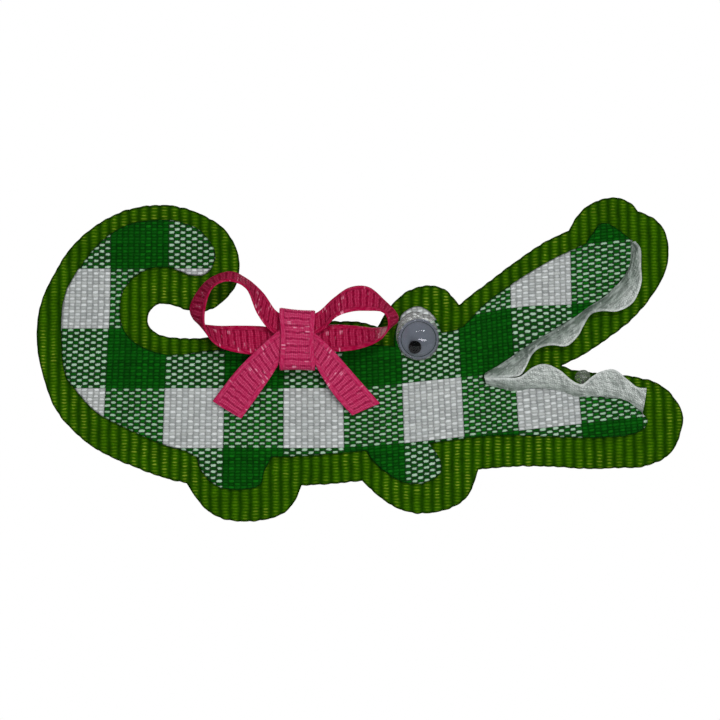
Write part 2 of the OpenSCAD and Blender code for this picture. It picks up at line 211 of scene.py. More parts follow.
def gingham_material():
    """Plain weave of white and green yarns: the raised yarn shows its colour as a small float.
    Painted shade darkens each float's rounded sides and the lower yarn in the gaps between floats,
    and a painted shadow lies along the heat-sealed cut edge.
    """
    s = Shader("gingham")
    vector, u, v, edge = s.attribute("weave")
    wobble = s.times(s.minus(s.noise(vector, 9.0), 0.5), 0.5)
    warp = s.plus(s.times(u, WARPS), wobble)
    pick = s.plus(s.times(v, PICKS), wobble)
    warp_no = s.floor(warp)
    pick_no = s.floor(pick)
    off_warp = s.off_middle(warp)
    off_pick = s.off_middle(pick)
    # at every second crossing the warp lies on top
    weft_up = s.math("MODULO", s.math("ABSOLUTE", s.plus(warp_no, pick_no)), 2.0)
    chance = s.random(warp_no, pick_no)
    size = s.math("MULTIPLY_ADD", chance, 0.16, 0.92)
    outs = []
    for off, warp_reach, weft_reach in zip((off_warp, off_pick), WARP_FLOAT, WEFT_FLOAT):
        reach = s.times(size, s.ramp(weft_up, 0.0, 1.0, warp_reach, weft_reach))
        outs.append(s.math("POWER", s.over(off, reach), FLOAT_POWER))
    out = s.plus(*outs)
    on_float = s.ramp(out, 0.55, 1.10, 1.0, 0.0)
    column = s.math("MODULO", s.plus(s.floor(u), 20.0), 2.0)
    row = s.minus(1.0, s.math("MODULO", s.plus(s.floor(v), 20.0), 2.0))
    white_warp = s.mix(s.random(warp_no, 3.5), srgb(220, 225, 226), srgb(238, 242, 242))
    white_weft = s.mix(s.random(7.5, pick_no), srgb(200, 206, 205), srgb(220, 225, 223))
    green_warp = s.mix(s.random(warp_no, 1.5), srgb(0, 84, 2), srgb(8, 110, 10))
    green_weft = s.mix(s.random(2.5, pick_no), srgb(0, 72, 1), srgb(4, 92, 6))
    # a white yarn between green ones takes on some of their colour
    white_warp = s.mix(s.times(s.minus(1.0, row), 0.54), white_warp, srgb(116, 190, 126))
    white_weft = s.mix(s.times(s.minus(1.0, column), 0.54), white_weft, srgb(116, 190, 126))
    warp_colour = s.mix(column, green_warp, white_warp)
    weft_colour = s.mix(row, green_weft, white_weft)
    upper = s.mix(weft_up, warp_colour, weft_colour)
    both_white = s.times(column, row)
    one_white = s.minus(s.math("MAXIMUM", column, row), both_white)
    lower = s.mix(both_white, green_weft, white_weft)
    lower = s.mix(s.times(one_white, 0.24), lower, srgb(96, 112, 98))
    # painted shade: each float darker towards its rounded sides
    upper = s.dim(upper, s.ramp(out, 0.0, 1.0, 1.0, 0.74))
    # where both yarns are white the weft still sits lower, and painted shade on it makes the warp
    # show as a brick pattern
    upper = s.dim(upper, s.ramp(s.times(both_white, weft_up), 0.0, 1.0, 1.0, 0.84))
    # painted shade in the gaps between floats: the lower yarn there is darkened, most where one
    # yarn is white
    lower = s.dim(lower, s.ramp(one_white, 0.0, 1.0, 0.80, 0.66))
    lower = s.dim(lower, s.ramp(outs[0], 0.15, 0.9, 1.0, 0.72))
    shade = s.mix(on_float, lower, upper)
    fibre = s.noise(vector, 55.0, 3.0)
    worn = s.times(s.ramp(fibre, 0.35, 0.75, 1.0, 0.78), s.ramp(chance, 0, 1, 0.84, 1.0))
    # darker within 0.16 mm of the cut edge: a heat-sealed rim with painted shadow along it; worn
    # adds random fibre and yarn tone
    shade = s.dim(shade, s.times(worn, s.ramp(edge, 0.0, 0.16, 0.45, 1.0)))
    relief = s.plus(s.minus(s.times(on_float, 1.3), out), s.times(fibre, 0.5))
    normal = s.bump(relief, 0.045 * MM, 0.6)
    return s.finish(Base_Color=shade, Roughness=0.55, Specular_IOR_Level=0.05,
                    Sheen_Weight=0.01, Sheen_Roughness=0.4, Normal=normal)


def grosgrain_material():
    """Olive grosgrain: cords down the ribbon, wrapped by fine threads; painted shade in the valleys
    between cords, a painted highlight where threads cross a crown, and painted glints on the
    crests.
    """
    s = Shader("olive_grosgrain")
    vector, along, across, edge = s.attribute("weave")
    wander = s.times(s.minus(s.noise(vector, 0.3), 0.5), 0.30)
    cord = s.plus(s.over(along, OLIVE_RIB), wander)
    cord_no = s.floor(cord)
    off_crest = s.off_middle(cord)
    line = s.plus(s.over(across, OLIVE_THREAD), s.random(cord_no, 0.5))
    line = s.plus(line, s.times(s.noise(vector, 0.8), 0.8))
    line_no = s.floor(line)
    off_line = s.off_middle(line)
    crown = s.ramp(off_crest, 0.05, 0.98, 1.0, 0.0)
    thread = s.ramp(off_line, 0.1, 0.95, 1.0, 0.0)
    reach = s.math("MULTIPLY_ADD", s.random(cord_no, line_no), 0.34, 0.30)
    lens_u = s.math("POWER", s.over(off_crest, reach), 2.0)
    lens_v = s.math("POWER", s.over(off_line, 0.46), 2.0)
    lens = s.ramp(s.plus(lens_u, lens_v), 0.35, 1.15, 1.0, 0.0)
    bright = s.ramp(s.noise(vector, 0.16, 1.0), 0.36, 0.64, 0.10, 0.70)
    bright = s.times(bright, s.ramp(s.random(line_no, cord_no), 0.0, 1.0, 0.25, 1.0))
    grain = s.noise(vector, 3.2, 3.0)
    patch = s.noise(vector, 0.45, 2.0)
    # painted shade: the valleys between cords darker than their crowns
    shade = s.mix(crown, srgb(26, 66, 0), srgb(44, 92, 0))
    # painted highlight: lighter where the threads cross the crown of a cord
    shade = s.mix(s.times(s.times(crown, thread), 0.8), shade, srgb(70, 118, 4))
    # painted glints: lens-shaped bright dashes on the crests, stronger in patches
    shade = s.mix(s.times(lens, bright), shade, srgb(154, 172, 52))
    worn = s.times(s.ramp(grain, 0.3, 0.8, 1.0, 0.66), s.ramp(patch, 0.3, 0.7, 0.86, 1.08))
    shade = s.dim(shade, s.times(worn, s.ramp(edge, 0.04, 0.30, 0.35, 1.0)))
    relief = s.plus(s.times(thread, s.plus(0.4, crown)), s.times(grain, 0.6))
    normal = s.bump(relief, 0.05 * MM, 0.55)
    return s.finish(Base_Color=shade, Roughness=0.6, Specular_IOR_Level=0.02,
                    Specular_Tint=(0.6, 0.9, 0.2, 1.0), Normal=normal)


def bow_material(name, deep, body, highlight_tone):
    """Narrow pink satin grosgrain: fine ribs between two stitched selvedges, with painted
    highlights on the rib crests, their rims and the selvedge fibres, painted shade in the ditches,
    the selvedge grooves and between strands, and bright flecks that are painted sparkles.
    """
    s = Shader(name)
    vector, along, across, edge = s.attribute("weave")
    wander = s.times(s.minus(s.noise(vector, 1.1), 0.5), 0.5)
    rib = s.plus(s.over(along, PINK_RIB), wander)
    off_rib = s.off_middle(rib)
    ragged = s.plus(edge, s.times(s.minus(s.noise(vector, 2.2), 0.5), 0.5))
    middle = s.ramp(ragged, 0.52, 0.72, 0.0, 1.0)
    border = s.ramp(s.math("ABSOLUTE", s.minus(ragged, 0.64)), 0.02, 0.14, 1.0, 0.0)
    broken = s.ramp(s.noise(vector, 1.5, 2.0), 0.38, 0.60, 0.30, 1.0)
    bar = s.times(s.ramp(off_rib, 0.34, 0.62, 1.0, 0.0), middle)
    rim = s.ramp(s.math("ABSOLUTE", s.minus(off_rib, 0.44)), 0.02, 0.20, 1.0, 0.0)
    rim = s.times(s.times(rim, middle), broken)
    ditch = s.times(s.ramp(off_rib, 0.66, 0.95, 0.0, 1.0), middle)
    off_strand = s.off_middle(s.over(across, 0.24))
    slanted = s.math("MULTIPLY_ADD", along, 1.3, s.times(across, 0.6))
    fibre = s.noise(s.join(slanted, s.times(across, 5.0)), 1.0, 3.0)
    fibre = s.ramp(fibre, 0.42, 0.64, 0.0, 1.0)
    fibre = s.times(fibre, s.minus(1.0, s.times(middle, 0.6)))
    fleck_u = s.over(along, 0.22)
    fleck_v = s.over(across, 0.75)
    # painted sparkles: a few random cells lit up as bright flecks, in patches
    painted_sparkle = s.random(s.floor(fleck_u), s.floor(fleck_v))
    painted_sparkle = s.ramp(painted_sparkle, 0.84, 0.96, 0.0, 1.0)
    painted_sparkle = s.times(painted_sparkle, s.ramp(s.noise(vector, 0.4, 1.0), 0.47, 0.64, 0.03, 0.8))
    for way in (fleck_u, fleck_v):
        off = s.off_middle(way)
        painted_sparkle = s.times(painted_sparkle, s.ramp(off, 0.4, 0.95, 1.0, 0.0))
    grain = s.noise(vector, 6.0, 3.0)
    shade = s.mix(s.times(grain, 0.9), body, deep)
    # painted highlight: the rib crests, their rims and the fibres, most in the selvedges, lightened
    # towards the highlight tone
    shade = s.mix(s.times(bar, 0.10), shade, highlight_tone)
    shade = s.mix(s.times(rim, 0.48), shade, highlight_tone)
    shade = s.mix(s.times(fibre, 0.26), shade, highlight_tone)
    shadow = s.times(ditch, s.ramp(broken, 0.3, 1.0, 0.2, 0.42))
    shade = s.dim(shade, s.minus(1.0, shadow))
    # painted shade in the groove between each selvedge and the ribs
    shade = s.dim(shade, s.ramp(border, 0.0, 1.0, 1.0, 0.86))
    # painted shade between the strands across the middle
    shade = s.dim(shade, s.ramp(s.times(off_strand, middle), 0.4, 1.0, 1.0, 0.70))
    # the painted sparkles
    shade = s.mix(painted_sparkle, shade, srgb(252, 168, 196))
    relief = s.plus(s.times(s.minus(bar, ditch), 0.6),
                    s.plus(s.times(fibre, 0.8), s.times(grain, 1.0)))
    relief = s.minus(relief, border)
    normal = s.bump(relief, 0.05 * MM, 0.7)
    return s.finish(Base_Color=shade, Roughness=0.55, Specular_IOR_Level=0.04,
                    Specular_Tint=(1.0, 0.45, 0.6, 1.0), Normal=normal)


def white_ribbon_material():
    """Soft white ribbon: a fine weave, greyer and smoother towards its root, where glue has sunk in
    and shade is painted; painted highlights on its knots and edges, painted shade in its creases,
    and painted glints.
    """
    s = Shader("white_ribbon")
    vector, along, across, edge = s.attribute("weave")
    slanted = s.times(s.math("MULTIPLY_ADD", across, 0.7, along), 2.6)
    streak = s.noise(s.join(slanted, s.times(across, 0.7)), 1.0, 4.0)
    pick = s.plus(s.over(along, 0.30), s.times(s.noise(vector, 0.9), 3.0))
    off_pick = s.off_middle(pick)
    warp = s.plus(s.over(across, 0.26), s.times(s.floor(pick), 0.5))
    off_warp = s.off_middle(warp)
    knot = s.times(s.ramp(off_pick, 0.2, 0.95, 1.0, 0.0), s.ramp(off_warp, 0.2, 0.95, 1.0, 0.0))
    # greyer towards the root, across the first 0.8 to 2.9 mm as seen from the front: glue sunk in
    # there, with painted shade under the gingham's edge and in the narrow pinched parts
    soaked_and_shaded = s.ramp(across, 0.8, 2.9, 1.0, 0.0)
    dry_unshaded = s.minus(1.0, s.times(soaked_and_shaded, 0.7))
    lip = s.times(s.ramp(edge, 0.10, 0.34, 1.0, 0.0), dry_unshaded)
    # painted light and shade: the raised crossings of the weave lighter, the yarn between them
    # darker
    shade = s.mix(s.times(knot, dry_unshaded), srgb(188, 196, 191), srgb(236, 241, 238))
    shade = s.mix(s.times(s.ramp(streak, 0.42, 0.66, 0.0, 0.7), dry_unshaded), shade, srgb(132, 143, 137))
    crinkle = s.ramp(s.noise(vector, 0.9, 4.0), 0.42, 0.64, 0.0, 1.0)
    flow = s.join(s.times(along, 0.55), s.times(across, 3.4))
    crease = s.ramp(s.noise(flow, 1.0, 3.0), 0.44, 0.62, 0.0, 1.0)
    wet_shaded_tone = s.mix(crinkle, srgb(84, 101, 89), srgb(152, 163, 156))
    shade = s.mix(s.times(soaked_and_shaded, 0.85), shade, wet_shaded_tone)
    # painted shade in the creases
    shade = s.dim(shade, s.ramp(crease, 0.0, 1.0, 1.0, 0.70))
    # painted highlight along both edges
    shade = s.mix(s.times(lip, 0.7), shade, srgb(222, 228, 225))
    # painted glints: a few random small cells lightened
    painted_glint = s.random(s.floor(s.over(along, 0.16)), s.floor(s.over(across, 0.16)))
    shade = s.mix(s.ramp(painted_glint, 0.985, 0.998, 0.0, 0.4), shade, srgb(240, 244, 243))
    relief = s.plus(s.times(knot, dry_unshaded), s.times(streak, 2.2))
    relief = s.minus(relief, s.times(crease, 1.6))
    normal = s.bump(s.plus(relief, s.times(crinkle, 1.2)), 0.08 * MM, 0.7)
    return s.finish(Base_Color=shade, Roughness=0.32, Specular_IOR_Level=0.30, Normal=normal)


def metal_material(name, colour, roughness, streak):
    """Pressed steel: fine lengthwise drawing marks and soft blotches of polish."""
    s = Shader(name)
    place = s.place()
    mapping = s.tree.nodes.new("ShaderNodeMapping")
    mapping.inputs["Scale"].default_value = (1.0, 1.0, streak)
    s.tree.links.new(place, mapping.inputs["Vector"])
    marks = s.noise(mapping.outputs[0], 900.0, 4.0)
    polish = s.noise(place, 260.0, 3.0)
    shine = s.plus(s.math("MULTIPLY_ADD", marks, 0.14, roughness), s.times(polish, 0.10))
    tint = s.mix(s.times(polish, 0.35), colour, srgb(120, 118, 112))
    normal = s.bump(marks, 0.012 * MM, 0.5, s.edge_normal(0.12 * MM))
    return s.finish(Base_Color=tint, Metallic=1.0, Roughness=shine, Normal=normal)


def glue_material():
    """Set hot-melt glue: cloudy, wet-looking and a little uneven."""
    s = Shader("hot_melt")
    place = s.place()
    cloud = s.noise(place, 900.0, 3.0)
    tint = s.mix(cloud, srgb(205, 208, 200), srgb(238, 238, 232))
    normal = s.bump(s.noise(place, 500.0, 2.0), 0.08 * MM, 0.6)
    return s.finish(Base_Color=tint, Roughness=0.18, Transmission_Weight=0.55,
                    IOR=1.48, Subsurface_Weight=0.2,
                    Subsurface_Radius=(0.6 * MM,) * 3, Normal=normal)


def wet_glue_material(name, scale, depth, bend, low, high):
    """Clear glue that has spread thin: glassy, with small bubbles of relief."""
    s = Shader(name)
    bubbles = s.noise(s.place(), scale, 3.0)
    tint = s.mix(bubbles, low, high)
    normal = s.bump(bubbles, depth * MM, 0.7)
    return s.finish(Base_Color=tint, Roughness=0.15, Transmission_Weight=0.8, IOR=bend,
                    Normal=normal)


def eye_cup_material():
    """Plastic card in the lavender-grey it shows under the clear shell, darker than its own white:
    painted shade. It has a faint moulded grain.
    """
    s = Shader("eye_white")
    grain = s.noise(s.place(), 1400.0, 3.0)
    tint = s.mix(grain, srgb(104, 109, 118), srgb(120, 126, 136))
    normal = s.bump(grain, 0.01 * MM, 0.5, s.edge_normal(0.1 * MM))
    return s.finish(Base_Color=tint, Roughness=0.5, Specular_IOR_Level=0.15, Normal=normal)


def shell_material():
    """Clear pressed plastic with the faint cloud of a moulding."""
    s = Shader("eye_clear")
    haze = s.noise(s.place(), 700.0, 2.0)
    tint = s.mix(haze, srgb(240, 242, 247), srgb(251, 252, 254))
    return s.finish(Base_Color=tint, Roughness=0.04, Transmission_Weight=1.0, IOR=1.25)


def pupil_material():
    """Glossy black plastic with fine scuffs."""
    s = Shader("eye_black")
    scuff = s.noise(s.place(), 2500.0, 3.0)
    tint = s.mix(scuff, srgb(2, 2, 3), srgb(12, 12, 15))
    normal = s.bump(scuff, 0.01 * MM, 0.4, s.edge_normal(0.08 * MM))
    return s.finish(Base_Color=tint, Roughness=0.5, Specular_IOR_Level=0.03, Normal=normal)


def floor_material():
    s = Shader("floor_paint")
    grain = s.noise(s.place(), 60.0, 2.0)
    tint = s.mix(grain, srgb(240, 240, 240), srgb(246, 246, 246))
    return s.finish(Base_Color=tint, Roughness=0.9)


# -------- mesh building

def add_object(name, data):
    made = bpy.data.objects.new(name, data)
    bpy.context.scene.collection.objects.link(made)
    return made


def add_piece(name, points_mm, faces, material, weave=None, body="root"):
    """A smooth-shaded mesh piece from points in millimetres, riding on a body."""
    mesh = bpy.data.meshes.new(name)
    mesh.from_pydata([tuple(p) for p in np.asarray(points_mm, float) * MM], [], faces)
    mesh.update()
    mesh.polygons.foreach_set("use_smooth", [True] * len(mesh.polygons))
    if weave is not None:
        data = mesh.attributes.new("weave", "FLOAT_VECTOR", "POINT").data
        data.foreach_set("vector", np.asarray(weave, np.float32).ravel())
    mesh.materials.append(material)
    piece = add_object(name, mesh)
    if body:
        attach(piece, body)
    return piece


def stand_for(node):
    """The piece replaces a CAD node, which is hidden from view and render."""
    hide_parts(node)


def front_outline(node):
    """The outline of a flat CAD layer's front: (x, z) rows in millimetres, counterclockwise."""
    mesh = frame["nodes"][node].data
    points = np.array([v.co for v in mesh.vertices]) / MM
    merged = {}
    index = [merged.setdefault(tuple(np.round(p, 4)), len(merged)) for p in points]
    points = np.array(list(merged))
    front = points[:, 1].min() + 1e-3
    edges = set()
    for polygon in mesh.polygons:
        corners = [index[i] for i in polygon.vertices]
        if all(points[i][1] < front for i in corners):
            edges.update(zip(corners, corners[1:] + corners[:1]))
    following = {a: b for a, b in edges if (b, a) not in edges}
    loop = [min(following)]
    while following[loop[-1]] != loop[0]:
        loop.append(following[loop[-1]])
    outline = points[loop][:, [0, 2]]
    if area_of(outline) < 0:
        outline = outline[::-1]
    return outline


def area_of(outline):
    x, z = outline[:, 0], outline[:, 1]
    return 0.5 * float(np.sum(x * np.roll(z, -1) - np.roll(x, -1) * z))


def finer(outline, step):
    """The outline with its long edges cut so that none is longer than step."""
    rows = []
    for a, b in zip(outline, np.roll(outline, -1, axis=0)):
        n = max(1, math.ceil(np.linalg.norm(b - a) / step))
        rows += [a + (b - a) * k / n for k in range(n)]
    return np.array(rows)


def outward(outline):
    """Unit normals that point out of a counterclockwise outline."""
    along = np.roll(outline, -1, axis=0) - np.roll(outline, 1, axis=0)
    along /= np.linalg.norm(along, axis=1)[:, None] + 1e-12
    return np.stack([along[:, 1], -along[:, 0]], axis=1)


def inside(points, outline):
    hit = np.zeros(len(points), bool)
    for (ax, az), (bx, bz) in zip(outline, np.roll(outline, -1, axis=0)):
        if az != bz:
            spans = (az > points[:, 1]) != (bz > points[:, 1])
            hit ^= spans & (points[:, 0] < (bx - ax) * (points[:, 1] - az) / (bz - az) + ax)
    return hit


def edge_distance(points, outline):
    """Distance from each point to the outline."""
    near = np.full(len(points), 1e9)
    for a, b in zip(outline, np.roll(outline, -1, axis=0)):
        d = b - a
        t = np.clip(((points - a) @ d) / max(float(d @ d), 1e-12), 0, 1)
        near = np.minimum(near, np.linalg.norm(points - a - t[:, None] * d, axis=1))
    return near


def waves(x, z, length, seed):
    """A smooth random field from -1 to 1, made of a few plane waves about length apart."""
    spread = np.random.default_rng(seed)
    total = np.zeros(np.shape(x))
    for _ in range(7):
        turn, phase = spread.uniform(0, 2 * math.pi, 2)
        pace = 2 * math.pi / (length * spread.uniform(0.7, 1.5))
        total += np.sin(pace * (x * math.cos(turn) + z * math.sin(turn)) + phase)
    return total / 4.0


def layer_piece(name, node, material, front_grid, front, weave, back_grid=None, back=None,
                bulge=0.05, fray=None):
    """A flat piece cut to a CAD layer's outline. front(x, z, edge) and back(x, z, edge) give the
    depth of each face, the grids are the points inside the outline that carry their relief, and
    fray(x, z, slope) says how far the cut edge strays outwards."""
    outline = finer(front_outline(node), 0.25)
    if fray is not None:
        normal = outward(outline)
        outline = outline + normal * fray(outline[:, 0], outline[:, 1], normal[:, 1])[:, None]
    rim = len(outline)
    rings = [outline - outward(outline) * inset for inset in (0.1, 0.25)]

    def face(grid):
        extra = np.concatenate(rings + [grid])
        room = edge_distance(extra, outline)
        keep = inside(extra, outline) & (room > 0.07)
        points = np.concatenate([outline, extra[keep]])
        loop = [(i, (i + 1) % rim) for i in range(rim)]
        made = delaunay_2d_cdt([Vector(p) for p in points], loop, [], 1, 1e-6)
        points = np.array([tuple(p) for p in made[0]])
        room = np.where(np.arange(len(points)) < rim, 0.0, edge_distance(points, outline))
        faces = []
        for tri in made[2]:
            a, b, c = points[tri[0]], points[tri[1]], points[tri[2]]
            turn = (b[0] - a[0]) * (c[1] - a[1]) - (b[1] - a[1]) * (c[0] - a[0])
            faces.append(tuple(tri) if turn > 0 else tuple(tri[::-1]))
        return points, room, faces

    front_points, front_room, front_faces = face(front_grid)
    back_points, back_room, back_faces = face(outline[:0] if back_grid is None else back_grid)
    front_y = front(front_points[:, 0], front_points[:, 1], front_room)
    back_y = np.full(len(back_points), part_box(node)[1].y / MM)
    if back is not None:
        back_y = back(back_points[:, 0], back_points[:, 1], back_room)
    middle = outline + outward(outline) * bulge
    middle_y = (front_y[:rim] + back_y[:rim]) / 2
    points = np.concatenate([
        np.stack([front_points[:, 0], front_y, front_points[:, 1]], axis=1),
        np.stack([middle[:, 0], middle_y, middle[:, 1]], axis=1),
        np.stack([back_points[:, 0], back_y, back_points[:, 1]], axis=1)])
    first_mid = len(front_points)
    first_back = first_mid + rim
    faces = list(front_faces)
    faces += [tuple(first_back + i for i in reversed(tri)) for tri in back_faces]
    for i in range(rim):
        j = (i + 1) % rim
        faces.append((i, first_mid + i, first_mid + j, j))
        faces.append((first_mid + i, first_back + i, first_back + j, first_mid + j))
    room = np.concatenate([front_room, np.zeros(rim), back_room])
    u, v = weave(points[:, 0], points[:, 2])
    return add_piece(name, points, faces, material, np.stack([u, v, room], axis=1))


def grid_over(node, step_x, step_z):
    low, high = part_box(node)
    xs = np.arange(low.x / MM, high.x / MM, step_x)
    zs = np.arange(low.z / MM, high.z / MM, step_z)
    return np.array([(x, z) for z in zs for x in xs])


def catmull(rows, i, t, closed):
    """The smooth curve through rows, at t of the way from row i to the next."""
    near = np.arange(i - 1, i + 3)
    near = near % len(rows) if closed else near.clip(0, len(rows) - 1)
    a, b, c, d = rows[near]
    return 0.5 * (2 * b + (c - a) * t + (2 * a - 5 * b + 4 * c - d) * t * t
                  + (3 * b - a - 3 * c + d) * t ** 3)


def unit(v):
    return v / (np.linalg.norm(v, axis=-1, keepdims=True) + 1e-12)


def ring_faces(count, size, closed):
    """Quads from each ring of size points to the next. When closed, the last meets the first."""
    faces = []
    for i in range(count if closed else count - 1):
        j = (i + 1) % count
        for k in range(size):
            m = (k + 1) % size
            faces.append((i * size + k, j * size + k, j * size + m, i * size + m))
    return faces


def turned(faces):
    """The quads seen from their other side, each from the same first corner."""
    return [(a, d, c, b) for a, b, c, d in faces]


# How far in from a ribbon's edge its cords reach full height and its selvedge bead lies
CORD_END = 0.45
BEAD_PLACE = 0.2
BEAD_WIDTH = 0.16


def strip_piece(name, edges, material, thickness, rib=0.0, rib_depth=0.0, selvedge=0.0,
                crown=0.0, closed=False, step=0.12, across=14, hidden=None):
    """A ribbon between two edges, each row a point on one edge and the matching point on the other.
    Its cords lie across it rib apart, its selvedges are beads, and crown bows it between them.
    hidden is how far its weave starts under another piece, counted as seen from the front."""
    rows = np.array(edges, float)
    stations = []
    last = len(rows) if closed else len(rows) - 1
    for i in range(last):
        a, b = rows[i], rows[(i + 1) % len(rows)]
        n = max(1, math.ceil(np.linalg.norm(b - a, axis=1).max() / step))
        stations += [catmull(rows, i, k / n, closed) for k in range(n)]
    if not closed:
        stations.append(rows[-1])
    stations = np.array(stations)
    first, second = stations[:, 0], stations[:, 1]
    centre = (first + second) / 2
    ahead = np.roll(centre, -1, axis=0) - np.roll(centre, 1, axis=0)
    if not closed:
        ahead[0] = centre[1] - centre[0]
        ahead[-1] = centre[-1] - centre[-2]
    out = unit(np.cross(unit(ahead), second - first))
    steps = np.linalg.norm(np.roll(centre, -1, axis=0) - centre, axis=1)
    arc = np.concatenate([[0.0], np.cumsum(steps)[:-1]])
    if closed and rib:
        rib = arc[-1] / max(1, round(arc[-1] / rib))
    s = 0.5 - 0.5 * np.cos(np.pi * np.arange(across + 1) / across)
    off = np.abs(2 * s - 1)
    width = np.linalg.norm(second - first, axis=1)
    from_edge = (1 - off) * width[:, None] / 2
    inner = np.clip(from_edge / CORD_END, 0, 1)
    cords = 0.5 + 0.5 * np.cos(2 * np.pi * arc / rib)[:, None] if rib else 0.0
    half = thickness / 2 * np.sqrt(np.clip(1 - off ** 10, 0, 1))[None, :]
    half = half + rib_depth * cords * inner * inner * (3 - 2 * inner)
    bead = np.exp(-((from_edge - BEAD_PLACE) / BEAD_WIDTH) ** 2)
    half = half + selvedge * bead * (off < 0.999)
    bow = crown * (1 - off ** 2)[None, :]
    middle = first[:, None] + s[None, :, None] * (second - first)[:, None]
    middle = middle + out[:, None] * bow[..., None]
    top = middle + out[:, None] * half[..., None]
    low = middle - out[:, None] * half[..., None]
    ring = np.concatenate([top, low[:, -2:0:-1]], axis=1)
    count, size = ring.shape[:2]
    faces = ring_faces(count, size, closed)
    if not closed:
        for base in (0, (count - 1) * size):
            for k in range(across):
                corners = (k, -k % size, size - k - 1, k + 1)
                quad = tuple(dict.fromkeys(base + corner for corner in corners))
                faces.append(quad if base else quad[::-1])
    along = np.repeat(arc[:, None], size, axis=1)
    share = np.concatenate([s, s[-2:0:-1]])
    side = share[None, :] * width[:, None]
    if hidden is not None:
        side = share[None, :] * np.hypot(*(second - first)[:, [0, 2]].T)[:, None] + hidden
    room = np.minimum(share, 1 - share)[None, :] * width[:, None]
    weave = np.stack([along, side, room], axis=2).reshape(-1, 3)
    return add_piece(name, ring.reshape(-1, 3), faces, material, weave)


def tube_piece(name, path, radius, material):
    """A round wire along a path of points, with narrowed ends. It rides on nothing yet."""
    sides = 12
    path = np.array(path, float)
    ahead = unit(np.gradient(path, axis=0))
    up = unit(np.cross(ahead, np.array([0.1, 0.2, 1.0])))
    side = np.cross(ahead, up)
    turn = np.arange(sides) * 2 * math.pi / sides
    swell = np.full(len(path), radius)
    swell[[0, -1]] = radius * 0.6
    spoke = np.cos(turn)[None, :, None] * up[:, None] + np.sin(turn)[None, :, None] * side[:, None]
    ring = path[:, None] + swell[:, None, None] * spoke
    faces = turned(ring_faces(len(path), sides, False))
    faces.append(tuple(range(sides - 1, -1, -1)))
    faces.append(tuple((len(path) - 1) * sides + k for k in range(sides)))
    return add_piece(name, ring.reshape(-1, 3), faces, material, body=None)


# -------- cloth of the figure

def weave_place(x, z):
    """Where a point of the gingham lies in its weave, counted in checks: the ribbon was pulled
    a little askew, so its rows climb towards the snout, its columns lean, and two are squeezed."""
    climb = 0.11 * np.logaddexp(0, (x + 3.0) / 2.0) * 2.0
    climb = climb + 0.5 * np.exp(-((z - 14.0) / 4.0) ** 2 - ((x - 17.0) / 5.0) ** 2)
    height = z - 4.0 - 0.7 * np.maximum(z - 14.0, 0.0)
    lean = (-0.028 - 0.00243 * np.minimum(x, 24.0)) * height
    squeeze = 0.65 * np.exp(-((x - 16.6) / 3.2) ** 2) + 0.28 * np.exp(-((x - 24.2) / 3.0) ** 2)
    u = (x + squeeze - WEAVE_START[0] - lean) / CHECK_MM
    return u, (z - climb - WEAVE_START[1]) / PICK_MM


def yarn_points(node):
    """Points a quarter of a yarn apart over the gingham, lined up with its weave."""
    low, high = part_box(node)
    us = np.arange(-3.0, 12.0, 1 / (WARPS * 4))
    vs = np.arange(-3.0, 6.0, 1 / (PICKS * 4))
    u, v = (a.ravel() for a in np.meshgrid(us, vs))
    x, z = u * CHECK_MM + WEAVE_START[0], v * PICK_MM + WEAVE_START[1]
    for _ in range(6):
        got_u, got_v = weave_place(x, z)
        x, z = x + (u - got_u) * CHECK_MM, z + (v - got_v) * PICK_MM
    kept = (x > low.x / MM) & (x < high.x / MM) & (z > low.z / MM) & (z < high.z / MM)
    return np.stack([x[kept], z[kept]], axis=1)


def yarn_relief(x, z):
    """Height of the floats at each point, from 0 between them to 1 on their crests."""
    u, v = weave_place(x, z)
    warp, pick = u * WARPS, v * PICKS
    weft_up = (np.floor(warp) + np.floor(pick)) % 2
    out = 0
    for yarn, warp_reach, weft_reach in zip((warp, pick), WARP_FLOAT, WEFT_FLOAT):
        reach = np.where(weft_up > 0, weft_reach, warp_reach)
        out = out + (np.abs(2 * (yarn % 1) - 1) / reach) ** FLOAT_POWER
    return np.clip(1 - out, 0, 1)


def olive_place(x, z):
    """The grosgrain's cords stand upright and lean a little at the snout."""
    return x - OLIVE_START + 0.0009 * np.clip(x, 0, None) * (z - 4.0), z


def cord_relief(x, z):
    along, _ = olive_place(x, z)
    off = np.abs((along / OLIVE_RIB) % 1 - 0.5)
    return 1 - np.clip((off - 0.05) / 0.42, 0, 1) ** 2


def make_backing(material):
    node = "backing_ribbon"
    low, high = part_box(node)

    def cords(x, z, edge):
        return cord_relief(x, z) * (0.4 + 0.6 * np.clip(edge / 0.3, 0, 1))

    def front(x, z, edge):
        return low.y / MM + 0.10 - 0.10 * cords(x, z, edge) - 0.05 * waves(x, z, 14, 3)

    def back(x, z, edge):
        return high.y / MM - 0.10 + 0.08 * cords(x, z, edge)

    def fray(x, z, slope):
        ends = np.abs(slope) * (0.07 * cord_relief(x, z) - 0.05)
        return ends + 0.035 * waves(x, z, 1.3, 31) + 0.03 * waves(x, z, 3.1, 32) - 0.02

    grid = grid_over(node, OLIVE_RIB / 8, 0.45)
    piece = layer_piece("olive_backing", node, material, grid, front, olive_place, grid, back,
                        fray=fray)
    stand_for(node)


